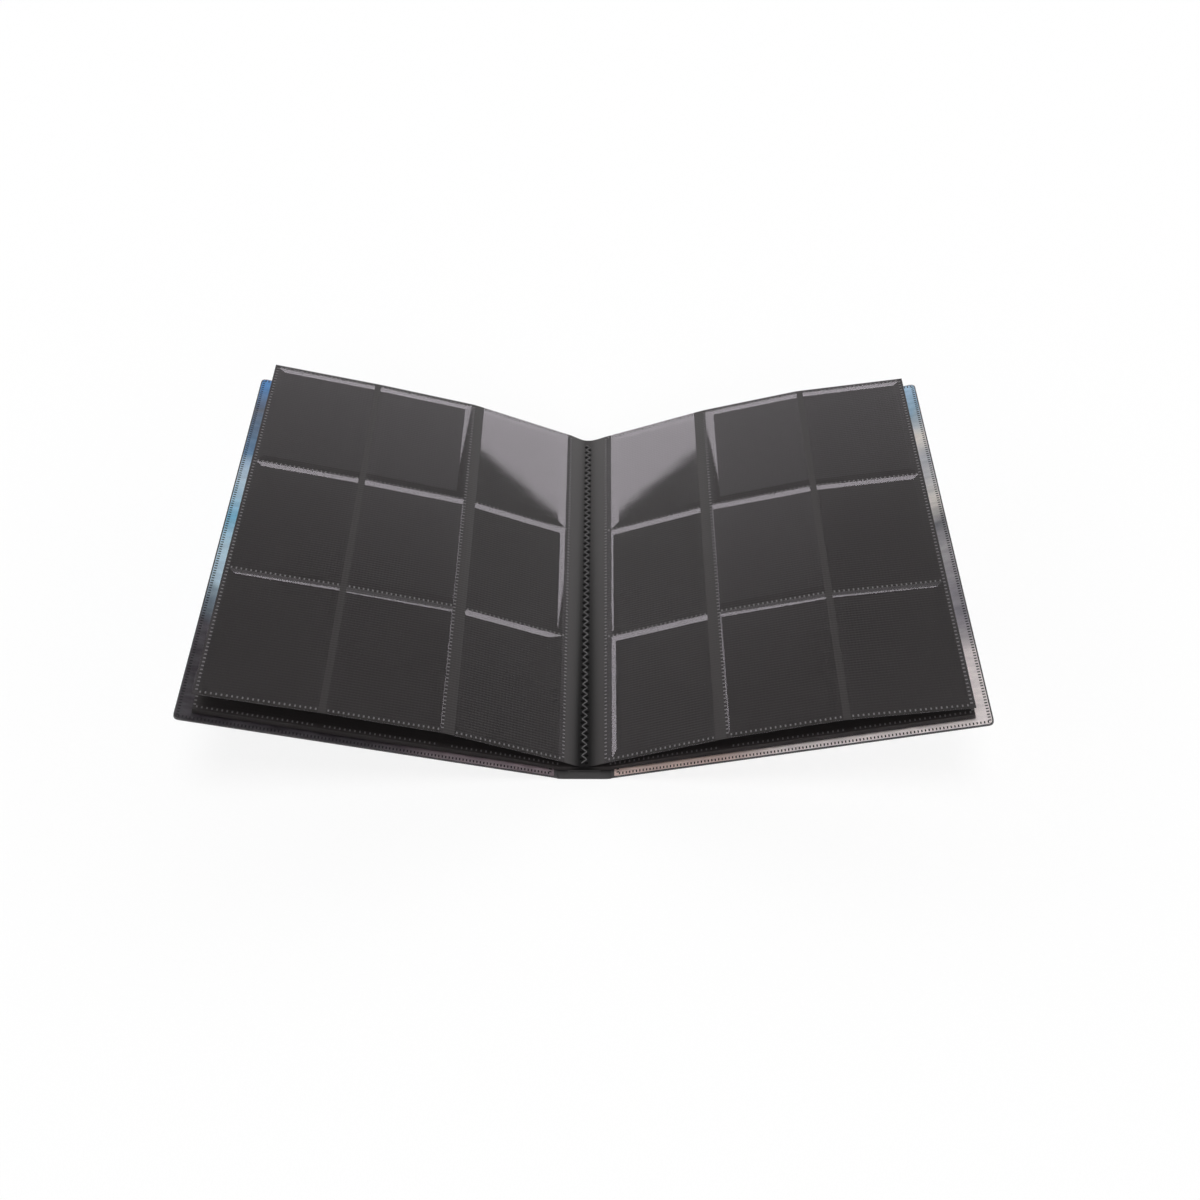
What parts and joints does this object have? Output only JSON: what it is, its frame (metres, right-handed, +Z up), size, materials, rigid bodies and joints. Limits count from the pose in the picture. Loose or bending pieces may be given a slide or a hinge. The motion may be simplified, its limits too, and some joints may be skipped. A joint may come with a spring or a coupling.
{
  "type": "card album",
  "caption": "Side-loading card album lying open in a shallow V, with hinged covers, stitched pocket sheets and a narrow spine.",
  "frame": {"origin": "middle of the spine's flat underside, where the open album rests", "axes": "+X across the open album towards the back cover, +Y along the spine away from the reader, +Z up"},
  "size_m": [0.4529, 0.2926, 0.0741],
  "materials": {
    "cover_board": "fine matt",
    "cover_print": "printed sheet",
    "cover_film": "clear, soft gloss",
    "spine_plastic": "satin",
    "page_core": "fine cloth grain",
    "pocket_film": "clear, glossy",
    "thread": "spun thread"
  },
  "bodies": {
    "spine": {"spine_outer_strip": "spine_plastic", "spine_inner_strip": "spine_plastic", "stitch_thread": "thread", "bobbin_thread": "thread", "gutter_fold_01": "page_core", "gutter_fold_02": "page_core", "gutter_fold_03": "page_core", "gutter_fold_04": "page_core", "gutter_fold_05": "page_core", "gutter_fold_06": "page_core", "gutter_fold_07": "page_core", "gutter_fold_08": "page_core", "gutter_fold_09": "page_core", "gutter_fold_10": "page_core"},
    "front_cover": {"front_cover_board": "cover_board", "front_cover_print_inside": "cover_print", "front_cover_print_outside": "cover_print", "front_cover_film_inside": "cover_film", "front_cover_film_outside": "cover_film"},
    "back_cover": {"back_cover_board": "cover_board", "back_cover_print_inside": "cover_print", "back_cover_print_outside": "cover_print", "back_cover_film_inside": "cover_film", "back_cover_film_outside": "cover_film"},
    "left_leaves": {"left_leaf_02": "page_core", "left_leaf_03": "page_core", "left_leaf_04": "page_core", "left_leaf_05": "page_core", "left_leaf_06": "page_core", "left_leaf_07": "page_core", "left_leaf_08": "page_core", "left_leaf_09": "page_core", "left_leaf_10": "page_core"},
    "right_leaves": {"right_leaf_02": "page_core", "right_leaf_03": "page_core", "right_leaf_04": "page_core", "right_leaf_05": "page_core", "right_leaf_06": "page_core", "right_leaf_07": "page_core", "right_leaf_08": "page_core", "right_leaf_09": "page_core", "right_leaf_10": "page_core"},
    "left_top_leaf": {"left_top_leaf_core": "page_core", "left_top_leaf_inner_pockets_front": "pocket_film", "left_top_leaf_inner_pockets_back": "pocket_film", "left_top_leaf_middle_pockets_front": "pocket_film", "left_top_leaf_middle_pockets_back": "pocket_film", "left_top_leaf_outer_pockets_front": "pocket_film", "left_top_leaf_outer_pockets_back": "pocket_film"},
    "right_top_leaf": {"right_top_leaf_core": "page_core", "right_top_leaf_inner_pockets_front": "pocket_film", "right_top_leaf_inner_pockets_back": "pocket_film", "right_top_leaf_middle_pockets_front": "pocket_film", "right_top_leaf_middle_pockets_back": "pocket_film", "right_top_leaf_outer_pockets_front": "pocket_film", "right_top_leaf_outer_pockets_back": "pocket_film"}
  },
  "joints": [
    {"name": "front_cover_fold", "type": "hinge", "parent": "spine", "child": "front_cover", "pos_m": [-0.0162, 0, 0.00132], "axis": [0, 1, 0], "range_deg": [-15, 75]},
    {"name": "back_cover_fold", "type": "hinge", "parent": "spine", "child": "back_cover", "pos_m": [0.0162, 0, 0.00132], "axis": [0, -1, 0], "range_deg": [-14, 76]},
    {"name": "left_leaves_turn", "type": "hinge", "parent": "spine", "child": "left_leaves", "pos_m": [-0.0134, 0, 0.00402], "axis": [0, 1, 0], "range_deg": [-15, 75]},
    {"name": "right_leaves_turn", "type": "hinge", "parent": "spine", "child": "right_leaves", "pos_m": [0.0134, 0, 0.00402], "axis": [0, -1, 0], "range_deg": [-14, 76]},
    {"name": "left_top_leaf_turn", "type": "hinge", "parent": "spine", "child": "left_top_leaf", "pos_m": [-0.0116, 0, 0.01024], "axis": [0, 1, 0], "range_deg": [-14.6, 72.8]},
    {"name": "right_top_leaf_turn", "type": "hinge", "parent": "spine", "child": "right_top_leaf", "pos_m": [0.0116, 0, 0.00904], "axis": [0, -1, 0], "range_deg": [-14, 76]}
  ],
  "couplings": [
    {"joint": "left_leaves_turn", "follows": "front_cover_fold", "ratio": 1},
    {"joint": "left_top_leaf_turn", "follows": "front_cover_fold", "ratio": 0.97},
    {"joint": "right_leaves_turn", "follows": "back_cover_fold", "ratio": 1},
    {"joint": "right_top_leaf_turn", "follows": "back_cover_fold", "ratio": 1}
  ]
}
